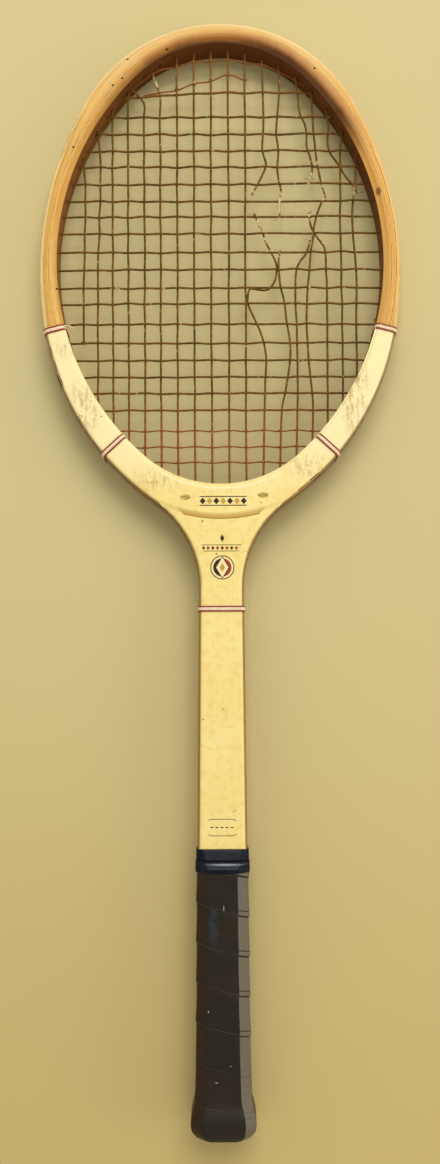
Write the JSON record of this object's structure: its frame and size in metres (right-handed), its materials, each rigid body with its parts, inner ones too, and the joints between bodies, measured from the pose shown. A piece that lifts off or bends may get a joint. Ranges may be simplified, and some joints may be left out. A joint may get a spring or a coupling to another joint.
{
  "type": "tennis racket",
  "caption": "Old laminated wooden tennis racket with an oval strung head, solid throat, thread bindings and a spiral leather grip; some strings are broken.",
  "frame": {"origin": "centre of the flat butt end", "axes": "+Y runs from the butt to the tip of the head, +Z is square to the string bed, out of the face seen from above, +X completes the right-handed set across the head"},
  "size_m": [0.2222, 0.6858, 0.038],
  "materials": {
    "ash": "clear varnished ash, worn",
    "lacquered_wood": "yellowed ivory lacquer over wood",
    "dark_lining": "dark stained and varnished",
    "pallet_wood": "bare, under the leather",
    "grip_leather": "dark brown, polished by use",
    "end_leather": "dark brown",
    "tack_metal": "dull",
    "collar_tape": "navy, glossy",
    "thread_white": "lacquered thread",
    "thread_red": "lacquered thread",
    "string": "varnished twisted gut, brown",
    "treble_string": "varnished thin gut, reddish"
  },
  "bodies": {
    "root": {"outer_ply": "ash", "second_ply": "ash", "third_ply": "ash", "head_core": "ash", "throat_bow": "lacquered_wood", "shoulder_packing_left": "lacquered_wood", "shoulder_packing_right": "lacquered_wood", "throat_wedge": "lacquered_wood", "shaft_core": "lacquered_wood", "inner_ply": "dark_lining", "front_pallet": "pallet_wood", "back_pallet": "pallet_wood", "butt_flare": "pallet_wood", "leather_grip": "grip_leather", "butt_end_disc": "end_leather", "butt_tacks": "tack_metal", "collar_tape_lower": "collar_tape", "collar_tape_upper": "collar_tape", "shoulder_binding_left_white": "thread_white", "shoulder_binding_left_red": "thread_red", "shoulder_binding_right_white": "thread_white", "shoulder_binding_right_red": "thread_red", "lower_binding_left_white": "thread_white", "lower_binding_left_red": "thread_red", "lower_binding_right_white": "thread_white", "lower_binding_right_red": "thread_red", "shaft_binding_white": "thread_white", "shaft_binding_red": "thread_red", "main_string": "string", "main_string_lower_piece": "string", "main_string_upper_piece": "string", "main_string_slack_piece": "string", "main_string_right_piece": "string", "cross_string": "string", "top_trebling": "treble_string", "bottom_trebling": "treble_string"}
  },
  "joints": []
}
